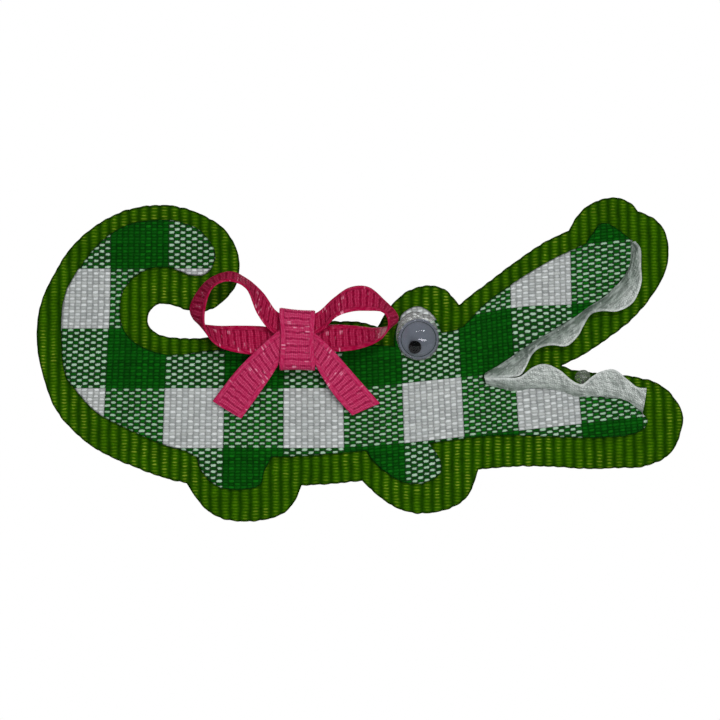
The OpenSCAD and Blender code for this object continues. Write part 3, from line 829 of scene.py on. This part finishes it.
def make_gingham(material):
    node = "gingham_ribbon"
    front_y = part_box(node)[0].y / MM

    def front(x, z, edge):
        pressed = np.clip(edge / 0.25, 0, 1)
        lift = 0.06 * yarn_relief(x, z) * pressed + 0.05 * waves(x, z, 17, 5)
        return front_y + 0.06 + 0.09 * (1 - pressed) ** 2 - lift

    def fray(x, z, slope):
        return 0.03 * waves(x, z, 1.1, 41) - 0.01

    piece = layer_piece("gingham_figure", node, material, yarn_points(node), front, weave_place,
                        grid_over(node, 1.5, 1.5), fray=fray)
    stand_for(node)


# -------- teeth ribbons

# Each row: x and z on the edge tucked under the gingham, then x and z on the free edge
UPPER_TOOTH_ROWS = [
    (12.9, 5.9, 12.5, 5.2), (14.2, 6.9, 14.6, 5.3), (15.8, 8.1, 16.8, 5.5), (17.0, 8.85, 17.7, 6.6),
    (18.0, 9.45, 18.4, 8.1), (19.0, 10.05, 19.4, 9.0), (20.2, 10.8, 20.9, 9.35),
    (21.6, 11.7, 22.8, 9.25), (23.0, 12.55, 24.2, 10.5), (24.2, 13.3, 24.9, 11.8),
    (25.4, 14.05, 25.8, 13.2), (26.8, 15.05, 27.2, 13.6), (28.2, 16.25, 29.2, 13.6),
    (29.3, 17.45, 31.1, 14.7), (30.1, 18.6, 32.1, 17.0), (30.6, 19.8, 32.05, 19.2),
    (30.75, 21.2, 32.0, 21.3), (30.8, 22.3, 31.3, 22.3)
]
LOWER_TOOTH_ROWS = [
    (12.9, 4.4, 12.6, 5.3), (14.8, 3.7, 15.0, 5.3), (16.8, 3.3, 16.9, 5.4), (18.6, 3.2, 18.6, 6.6),
    (20.2, 3.1, 20.2, 7.0), (21.8, 3.0, 22.0, 6.2), (23.2, 2.8, 23.4, 5.0), (24.6, 2.5, 24.7, 4.5),
    (25.8, 2.3, 25.9, 5.4), (27.2, 2.1, 27.2, 6.1), (28.8, 1.9, 28.8, 6.3), (30.2, 1.5, 30.4, 5.1),
    (31.3, 1.0, 31.6, 4.15), (32.2, 0.4, 32.8, 4.0)
]
TOOTH_WIDTH = 3.4


def tooth_edges(rows, base_y, lift):
    """The tucked edge stays down; where the free edge pulls in, the ribbon stands up instead."""
    edges = []
    for x, z, free_x, free_z in rows:
        shown = math.hypot(free_x - x, free_z - z)
        rise = lift * math.sqrt(max(TOOTH_WIDTH ** 2 - shown ** 2, 0.0))
        edges.append([(x, base_y, z), (free_x, base_y - 0.25 - rise, free_z)])
    return edges


def make_teeth(material):
    low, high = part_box("upper_teeth")
    base_y = (low.y + high.y) / 2 / MM
    # hidden shifts the lower ribbon's weave outwards, so the glue greying and painted shade at its
    # root end sooner than on the upper ribbon
    for name, node, rows, lift, crown, hidden in (
            ("upper_tooth_ribbon", "upper_teeth", UPPER_TOOTH_ROWS, 0.36, -0.22, 0.0),
            ("lower_tooth_ribbon", "lower_teeth", LOWER_TOOTH_ROWS, 0.40, 0.22, 0.7)):
        piece = strip_piece(name, tooth_edges(rows, base_y, lift), material, 0.16, rib=0.34,
                            rib_depth=0.01, selvedge=0.05, crown=crown, step=0.085, across=18,
                            hidden=hidden)
        stand_for(node)


# -------- bow

LEFT_LOOP = [
    [(-11.6, -4.6, 12.6), (-11.6, -4.9, 10.4)],
    [(-13.5, -4.4, 13.7), (-13.8, -5.0, 10.8)],
    [(-15.1, -4.1, 15.9), (-15.7, -6.6, 13.2)],
    [(-17.1, -3.9, 17.6), (-17.0, -7.3, 16.3)],
    [(-19.4, -3.7, 18.5), (-19.3, -7.4, 17.3)],
    [(-22.3, -3.7, 17.2), (-21.3, -7.3, 16.4)],
    [(-24.2, -3.7, 14.2), (-22.2, -7.0, 13.8)],
    [(-23.4, -3.7, 12.3), (-22.1, -6.9, 11.2)],
    [(-21.2, -3.8, 11.8), (-20.6, -6.4, 9.2)],
    [(-18.0, -3.8, 11.8), (-17.6, -5.3, 8.3)],
    [(-15.0, -3.9, 11.7), (-14.6, -4.7, 8.2)],
    [(-12.2, -3.9, 11.2), (-12.2, -4.1, 8.4)],
]
RIGHT_LOOP = [
    [(-10.2, -4.6, 12.6), (-10.2, -4.9, 10.4)],
    [(-8.1, -4.4, 13.6), (-7.9, -5.0, 11.0)],
    [(-6.2, -4.2, 15.3), (-6.0, -6.2, 12.8)],
    [(-4.2, -3.9, 16.6), (-4.0, -6.2, 13.5)],
    [(-1.9, -3.8, 16.6), (-2.0, -6.2, 13.6)],
    [(0.2, -3.7, 14.8), (-0.3, -6.8, 13.5)],
    [(1.7, -3.7, 13.1), (0.4, -7.2, 12.7)],
    [(1.3, -3.7, 12.0), (0.4, -7.0, 11.3)],
    [(-0.9, -3.8, 11.5), (-0.8, -6.6, 9.8)],
    [(-3.6, -3.8, 11.8), (-3.4, -5.7, 8.8)],
    [(-6.6, -3.9, 11.9), (-6.4, -4.9, 8.5)],
    [(-9.4, -3.9, 11.4), (-9.4, -4.1, 8.4)],
]
LEFT_TAIL = [
    [(-12.6, -5.5, 11.6), (-11.9, -5.5, 9.4)],
    [(-15.2, -5.6, 9.4), (-13.4, -5.4, 6.5)],
    [(-18.4, -4.7, 6.2), (-15.6, -4.6, 3.2)],
    [(-21.4, -3.5, 2.4), (-17.8, -3.5, 0.2)],
]
RIGHT_TAIL = [
    [(-9.0, -5.5, 11.2), (-9.8, -5.5, 9.4)],
    [(-6.6, -5.5, 9.0), (-8.3, -5.4, 6.4)],
    [(-3.6, -4.7, 5.6), (-6.3, -4.6, 3.2)],
    [(-0.5, -3.5, 2.1), (-4.0, -3.5, 0.6)],
]


def knot_edges():
    """The band's two edges round the bow's middle: up its front, over the top and down behind."""
    low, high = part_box("bow_knot")
    x0, x1 = low.x / MM, high.x / MM
    y0, y1 = low.y / MM + 0.12, high.y / MM - 0.2
    z0, z1 = low.z / MM + 0.05, high.z / MM - 0.05
    front = [(y0 + 0.9, z0 + 0.05, 0.0), (y0 + 0.35, z0 + 0.35, 0.0), (y0 + 0.05, z0 + 1.0, 0.0),
             (y0, z0 + 2.6, 0.12), (y0, z1 - 2.6, 0.14), (y0 + 0.05, z1 - 1.0, 0.0),
             (y0 + 0.35, z1 - 0.25, 0.0), (y0 + 0.9, z1, 0.0)]
    back = [(y1 - 0.6, z1, 0.0), (y1 - 0.15, z1 - 0.3, 0.0), (y1, z1 - 1.0, 0.0),
            (y1, z0 + 1.0, 0.0), (y1 - 0.15, z0 + 0.3, 0.0), (y1 - 0.6, z0 + 0.05, 0.0)]
    rows = []
    for y, z, waist in front + back:
        slant = 0.45 * max(0.0, (z - z0) / (z1 - z0) - 0.3)
        rows.append([(x0 + 0.08 + waist, y, z + 0.05), (x1 - 0.08 - waist, y, z - slant)])
    return rows


def make_bow(material, loop_material):
    for name, edges, node, crown in (
            ("bow_loop_left", LEFT_LOOP, "bow_loops", 0.0),
            ("bow_loop_right", RIGHT_LOOP, "bow_loops", 0.0),
            ("bow_tail_left", LEFT_TAIL, "bow_tails", 0.1),
            ("bow_tail_right", RIGHT_TAIL, "bow_tails", 0.1),
            ("bow_knot_band", knot_edges(), "bow_knot", 0.12)):
        # the loops wear the darker copy of the pink: painted shade
        cloth = loop_material if node == "bow_loops" else material
        piece = strip_piece(name, edges, cloth, 0.24, rib=PINK_RIB, rib_depth=0.03,
                            selvedge=0.03, crown=crown, closed=node == "bow_knot", step=0.1)
        stand_for(node)


# -------- clip

def make_spring(material):
    """The torsion spring: its foot lies on the flat arm, its coil round the hinge pin and its hand
    along the prong; the wire rides on no body.
    """
    hinge = next(j for j in frame["joints"] if j["name"] == "prong_hinge")
    pin_x, pin_y = np.array(hinge["pos_m"][:2]) / MM
    low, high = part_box("torsion_spring")
    wire = 0.5
    coil_r = 1.2
    half_w = ((high.z - low.z) / MM - wire) / 2
    turns = 4.5
    foot = [(-26.5, low.y / MM + wire / 2, -half_w), (-24, 0.05, -half_w),
            (-21, 0.2, -half_w), (-19, 0.3, -half_w)]
    count = int(turns * 32)
    coil = []
    for i in range(count + 1):
        a = math.radians(-90 + 360 * turns * i / count)
        coil.append((pin_x + coil_r * math.cos(a), pin_y + coil_r * math.sin(a),
                     half_w * (2 * i / count - 1)))
    hand = [(-19, 2.9, half_w), (-21, 3.53, half_w), (-23.5, 4.32, half_w), (-25.5, 4.95, half_w)]
    piece = tube_piece("spring_wire", foot + coil + hand, wire / 2, material)
    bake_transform(piece)
    stand_for("torsion_spring")


def make_lining(material):
    """The lining runs along the arm's outside, round its tip and back along the grip face."""
    low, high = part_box("clip_lining")
    arm_low, arm_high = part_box("clip_base")
    half_w = (high.z - low.z) / 2 / MM
    tip = high.x / MM
    thick = (high.x - arm_high.x) / MM
    outside, inside_y = low.y / MM + thick / 2, high.y / MM - thick / 2
    arm_r = (arm_high.z - arm_low.z) / 2 / MM
    round_x = tip - thick - arm_r

    def half(x):
        reach = math.sqrt(max((arm_r + thick) ** 2 - max(x - round_x, 0.0) ** 2, 0.0))
        return min(half_w - 0.1, max(reach, 1.4))

    rows = [(x, outside) for x in np.arange(low.x / MM, tip - 1.2, 2.0)]
    middle = (outside + inside_y) / 2
    span = (inside_y - outside) / 2
    for a in np.radians(range(-80, 81, 20)):
        rows.append((tip - thick / 2 - 0.55 * (1 - math.cos(a)), middle + span * math.sin(a)))
    rows += [(x, inside_y) for x in np.arange(tip - 1.6, -12.0, -2.0)]
    edges = [[(x, y, -half(x)), (x, y, half(x))] for x, y in rows]
    piece = strip_piece("lining_ribbon", edges, material, thick - 0.14, rib=OLIVE_RIB,
                        rib_depth=0.05, selvedge=0.02, step=0.15)
    stand_for("clip_lining")


def lathe_piece(name, centre, profile, gap, material, turns, dent=0.0, seed=0):
    """A round piece about the Y axis: each profile row is (radius, y), and the rows run round its
    section. There is no face after row gap, but a flat cap on each side of it."""
    points = []
    n = len(profile)
    for i in range(turns):
        a = 2 * math.pi * i / turns
        swell = 1 + dent * float(waves(2 * math.cos(a), 2 * math.sin(a), 3, seed))
        points += [(centre.x + r * swell * math.cos(a), y, centre.z + r * swell * math.sin(a))
                   for r, y in profile]
    faces = [face for face in ring_faces(turns, n, True) if face[0] % n != gap]
    faces.append(tuple(i * n + gap for i in range(turns)))
    faces.append(tuple(i * n + (gap + 1) % n for i in range(turns - 1, -1, -1)))
    return add_piece(name, points, faces, material)


def make_glue_pad(material):
    """The pad of set glue on the clip, with soft, lumpy edges."""
    low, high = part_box("glue_clip_pad")
    front_y, back_y = low.y / MM, high.y / MM

    def front(x, z, edge):
        return front_y + (back_y - front_y) * 0.35 * np.exp(-edge / 0.3) + 0.02 * waves(x, z, 3, 11)

    piece = layer_piece("glue_pad", "glue_clip_pad", material, grid_over("glue_clip_pad", 0.5, 0.5),
                        front, lambda x, z: (x, z), bulge=0.12)
    stand_for("glue_clip_pad")


def make_glue_bead(clear):
    """The bead squeezed out beside the mouth."""
    low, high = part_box("glue_mouth_bead")
    centre = (low + high) / 2 / MM
    base = high.y / MM
    rise = base - low.y / MM
    profile = [(0.74, base + 0.05), (0.88, base - 0.06 * rise), (0.80, base - 0.20 * rise),
               (0.60, base - 0.34 * rise), (0.34, base - 0.42 * rise), (0.10, base - 0.45 * rise)]
    bead = lathe_piece("glue_bead", centre, profile, len(profile) - 1, clear, 40, 0.22, 4)
    stand_for("glue_mouth_bead")


def make_eye_glue(material):
    """Glue squeezed out round the eye, furthest above it, where it has wet the gingham."""
    low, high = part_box("glue_under_eye")
    eye = (low + high) / 2 / MM
    base, top = high.y / MM, low.y / MM
    turns, rings, inner_r = 96, 9, 2.38
    points = []
    for i in range(turns):
        a = 2 * math.pi * i / turns
        spill = 0.26 + 0.85 * max(0.0, math.sin(a)) ** 3
        spill += 0.25 * max(0.0, -math.cos(a + 0.5)) ** 4
        spill *= 1 + 0.25 * float(waves(3 * math.cos(a), 3 * math.sin(a), 2.5, 9))
        for k in range(rings):
            t = k / (rings - 1)
            r = inner_r + spill * t
            y = base + 0.03 - (base - top + 0.09) * (1 - t * t) ** 0.8
            y += 0.05 * float(waves(r * math.cos(a), r * math.sin(a), 0.9, 21)) * (0 < t < 0.95)
            points.append((eye.x + r * math.cos(a), min(y, base), eye.z + r * math.sin(a)))
        points.append((eye.x + inner_r * math.cos(a), base + 0.05,
                       eye.z + inner_r * math.sin(a)))
    faces = turned(ring_faces(turns, rings + 1, True))
    piece = add_piece("glue_round_eye", points, faces, material)
    stand_for("glue_under_eye")


def make_eye_shell(material):
    """The eye's clear cover: a thin pressed shell with a flat rim, a steep wall and a low crown."""
    low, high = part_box("eye_dome")
    eye = (low + high) / 2 / MM
    seat = high.y / MM - 0.012
    outer = [(2.52, 0.0), (2.53, 0.07), (2.48, 0.12), (2.36, 0.14), (2.26, 0.26), (2.16, 0.48),
             (2.04, 0.70), (1.90, 0.88), (1.74, 1.03), (1.58, 1.13), (1.42, 1.20), (1.15, 1.275),
             (0.85, 1.335), (0.55, 1.375), (0.25, 1.395), (0.02, 1.40)]
    inner = [(0.02, 1.31), (0.55, 1.285), (0.85, 1.245), (1.15, 1.185), (1.40, 1.11), (1.53, 1.05),
             (1.68, 0.95), (1.84, 0.80), (1.97, 0.63), (2.08, 0.42), (2.16, 0.20), (2.18, 0.0)]
    profile = [(r, seat - h) for r, h in outer + inner]
    piece = lathe_piece("eye_shell", eye, profile, len(outer) - 1, material, 96)
    stand_for("eye_dome")


def paint_cad(materials):
    """Gives each CAD node that stays on show its material."""
    for node, key in (("clip_base", "steel"), ("clip_prong", "steel"), ("hinge_pin", "pin"),
                      ("eye_cup", "cup"), ("eye_pupil", "pupil"),
                      ("glue_under_gingham", "glue"), ("glue_under_bow", "glue")):
        mesh = frame["nodes"][node].data
        mesh.materials.clear()
        mesh.materials.append(materials[key])


# -------- camera, light and floor

VIEW_WIDTH = 0.09
LENS = 200
SENSOR = 36
VIEW_Y = -2.8 * MM
LIT_PLACE = Vector((0.0, 0.0, 0.005))


def make_camera():
    """Square on to the figure, so far off that at VIEW_Y, inside the gingham, the view is
    VIEW_WIDTH wide."""
    data = bpy.data.cameras.new("camera")
    data.lens = LENS
    data.sensor_width = SENSOR
    camera = add_object("camera", data)
    camera.location = (-3.0 * MM, VIEW_Y - VIEW_WIDTH * LENS / SENSOR, 7.5 * MM)
    camera.rotation_euler = (math.radians(90), 0, 0)
    bpy.context.scene.camera = camera


def add_light(name, place, size, watts, roll=0.0):
    data = bpy.data.lights.new(name, "AREA")
    data.shape = "RECTANGLE"
    data.size, data.size_y = size
    data.energy = watts
    light = add_object(name, data)
    light.location = place
    light.rotation_euler = (LIT_PLACE - Vector(place)).to_track_quat("-Z", "Y").to_euler()
    light.rotation_euler.rotate_axis("Z", math.radians(roll))


def make_light():
    """Two strip lights in front and one behind. The world is white where the camera sees it, but
    as a light it is dim, and dimmer below than above."""
    world = bpy.data.worlds.new("studio")
    bpy.context.scene.world = world
    world.use_nodes = True
    tree = world.node_tree
    background = tree.nodes["Background"]
    background.inputs["Color"].default_value = (1, 1, 1, 1)
    place = tree.nodes.new("ShaderNodeTexCoord")
    split = tree.nodes.new("ShaderNodeSeparateXYZ")
    tree.links.new(place.outputs["Generated"], split.inputs[0])
    sky = tree.nodes.new("ShaderNodeMapRange")
    sky.interpolation_type = "SMOOTHSTEP"
    tree.links.new(split.outputs[2], sky.inputs["Value"])
    for key, value in (("From Min", -0.2), ("From Max", 0.95), ("To Min", 0.07), ("To Max", 0.36)):
        sky.inputs[key].default_value = value
    ray = tree.nodes.new("ShaderNodeLightPath")
    level = tree.nodes.new("ShaderNodeMix")
    tree.links.new(ray.outputs["Is Camera Ray"], level.inputs[0])
    tree.links.new(sky.outputs[0], level.inputs[2])
    level.inputs[3].default_value = 1.0
    tree.links.new(level.outputs[0], background.inputs["Strength"])
    add_light("key", (0.075, -0.534, 0.263), (0.26, 0.05), 1.35)
    add_light("second", (0.13, -0.586, -0.01), (0.26, 0.06), 0.95, -14)
    add_light("back", (-0.12, 0.5, 0.3), (0.3, 0.12), 1.6)
    view = bpy.context.scene.view_settings
    view.view_transform = "Standard"
    view.look = "None"


def make_floor():
    half, z = 0.19, -0.06
    points = [(-half, -half, z), (half, -half, z), (half, half, z), (-half, half, z)]
    mesh = bpy.data.meshes.new("floor")
    mesh.from_pydata(points, [], [(0, 1, 2, 3)])
    mesh.materials.append(floor_material())
    add_object("floor", mesh)


# -------- the whole clip

make_camera()
make_light()
make_floor()

olive = grosgrain_material()
glue = glue_material()

make_backing(olive)
make_gingham(gingham_material())
make_teeth(white_ribbon_material())
pink = bow_material("pink_grosgrain", srgb(146, 14, 60), srgb(208, 42, 98), srgb(240, 108, 152))
# a darker, more saturated copy of the pink for the loops: painted shade
shaded_pink = bow_material("pink_grosgrain_shaded_loops", srgb(126, 0, 42), srgb(186, 12, 68),
                         srgb(236, 84, 132))
make_bow(pink, shaded_pink)
make_spring(metal_material("spring_wire", srgb(178, 178, 182), 0.25, 1.0))
make_lining(olive)
make_glue_pad(glue)
make_glue_bead(wet_glue_material("bead_glue", 600.0, 0.02, 1.22, srgb(150, 168, 144),
                                 srgb(212, 222, 208)))
make_eye_glue(wet_glue_material("clear_glue", 1100.0, 0.06, 1.4, srgb(225, 228, 224),
                                srgb(248, 250, 248)))
make_eye_shell(shell_material())
paint_cad({
    "steel": metal_material("nickel_steel", srgb(205, 204, 200), 0.16, 12.0),
    "pin": metal_material("pin_steel", srgb(190, 190, 192), 0.2, 1.0),
    "cup": eye_cup_material(), "pupil": pupil_material(), "glue": glue,
})
